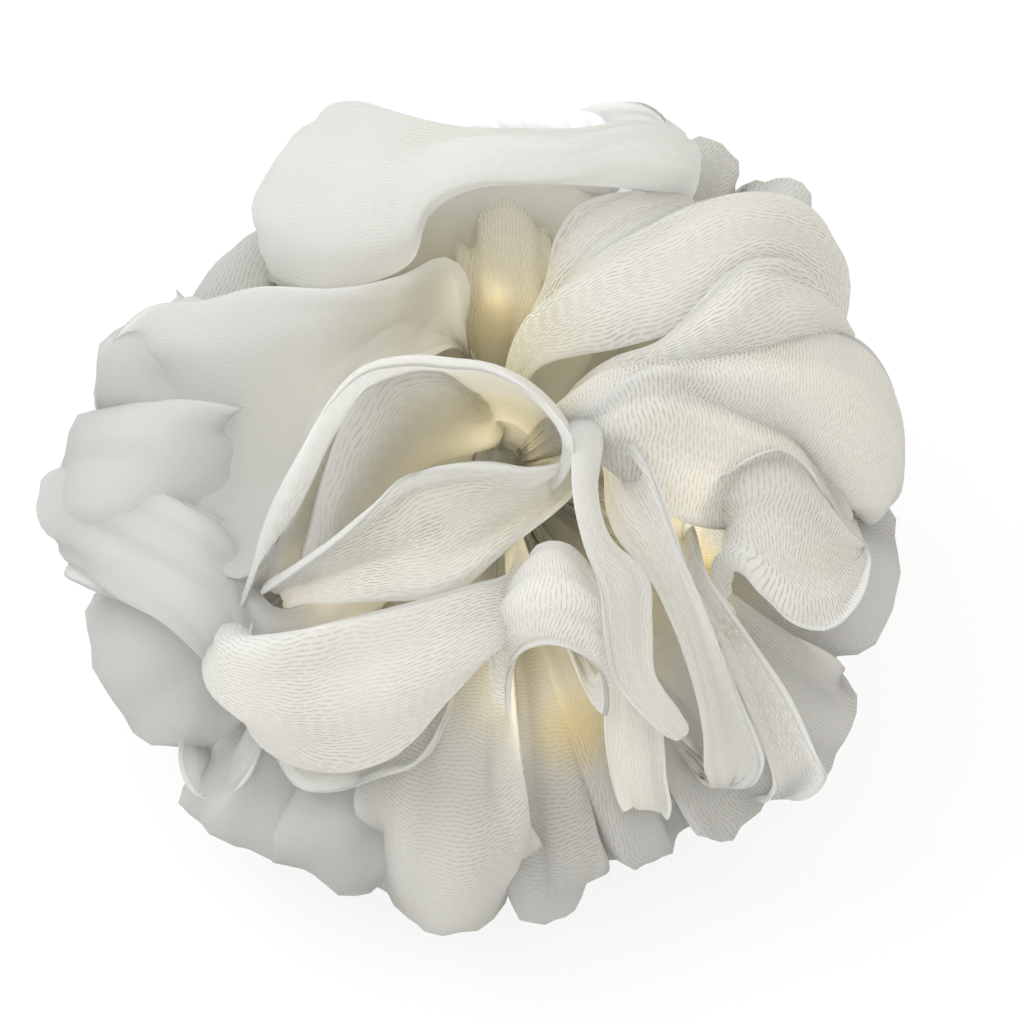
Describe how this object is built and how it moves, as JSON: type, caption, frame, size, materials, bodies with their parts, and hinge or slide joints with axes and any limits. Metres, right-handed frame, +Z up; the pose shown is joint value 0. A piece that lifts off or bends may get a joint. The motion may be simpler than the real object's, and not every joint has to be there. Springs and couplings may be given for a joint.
{
  "type": "mesh bath pouf",
  "caption": "Soft round wash pouf of gathered mesh netting, bound in the middle, with a twisted rope loop for hanging it up.",
  "frame": {"origin": "on the surface that the pouf lies on, under the middle of its bounding box", "axes": "+Z up, +X to the right as the face is looked at, +Y away from the viewer; the face with the open petals looks towards -Y and up, 55 degrees above level"},
  "size_m": [0.1281, 0.1165, 0.1062],
  "materials": {
    "net": "knitted polyethylene thread net, ivory, see-through in one layer",
    "string": "plain nylon string",
    "rope": "three-strand twisted white rope with a soft gloss"
  },
  "bodies": {
    "root": {"mesh_ruffle": "net", "centre_tie": "string", "hanging_rope": "rope"}
  },
  "joints": []
}
